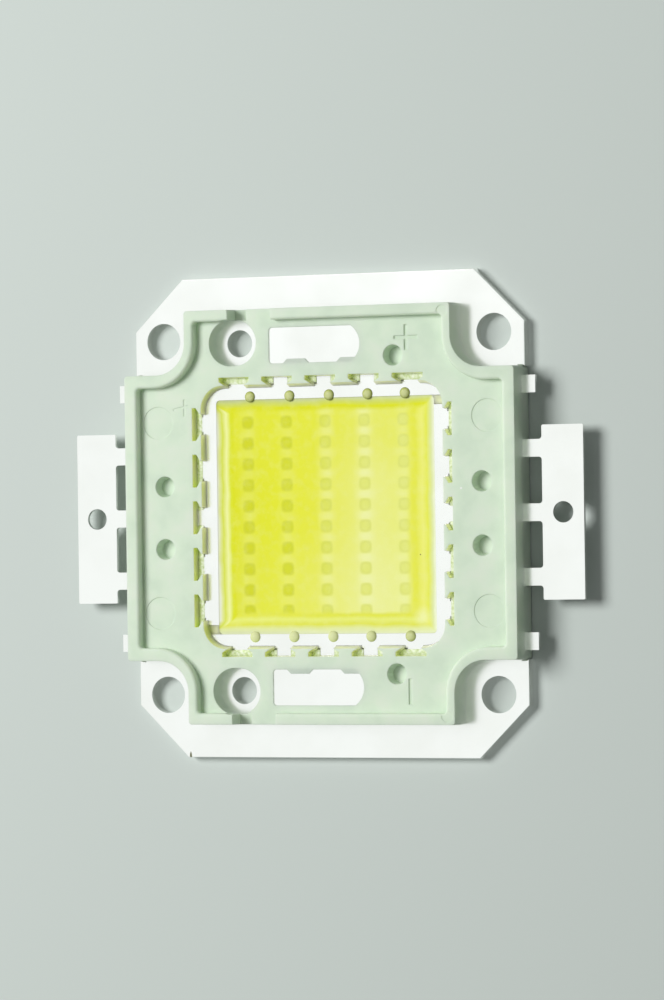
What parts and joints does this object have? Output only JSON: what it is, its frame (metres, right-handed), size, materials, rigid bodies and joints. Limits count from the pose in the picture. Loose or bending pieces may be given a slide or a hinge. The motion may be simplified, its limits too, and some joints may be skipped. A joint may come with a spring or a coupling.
{
  "type": "high-power led chip",
  "caption": "Flat high-power LED module: phosphor-covered dies in a moulded frame on a plated copper base, with two flat leads and screw holes at the corners.",
  "frame": {"origin": "centre of the base plate's underside, the face that seats on a heat sink", "axes": "+Z out of the light-emitting face, +X from the anode lead towards the cathode lead, +Y along the base plate's long side, away from the minus mark towards the plus mark"},
  "size_m": [0.052, 0.046, 0.004],
  "materials": {
    "plated_copper_base": "silver-plated, satin",
    "plated_copper_lead": "silver-plated, satin",
    "moulded_housing": "matte moulded",
    "phosphor_silicone": "glossy translucent",
    "blue_die": "polished",
    "die_adhesive": "cured",
    "gold_wire": "drawn"
  },
  "bodies": {
    "root": {"base_plate": "plated_copper_base", "frame": "moulded_housing", "anode_lead": "plated_copper_lead", "cathode_lead": "plated_copper_lead", "tie_bar_left_top": "plated_copper_lead", "tie_bar_left_bottom": "plated_copper_lead", "tie_bar_right_top": "plated_copper_lead", "tie_bar_right_bottom": "plated_copper_lead", "encapsulant": "phosphor_silicone", "die_string_1": "blue_die", "die_string_2": "blue_die", "die_string_3": "blue_die", "die_string_4": "blue_die", "die_string_5": "blue_die", "die_attach_1": "die_adhesive", "die_attach_2": "die_adhesive", "die_attach_3": "die_adhesive", "die_attach_4": "die_adhesive", "die_attach_5": "die_adhesive", "bond_wires_1": "gold_wire", "bond_wires_2": "gold_wire", "bond_wires_3": "gold_wire", "bond_wires_4": "gold_wire", "bond_wires_5": "gold_wire"}
  },
  "joints": []
}
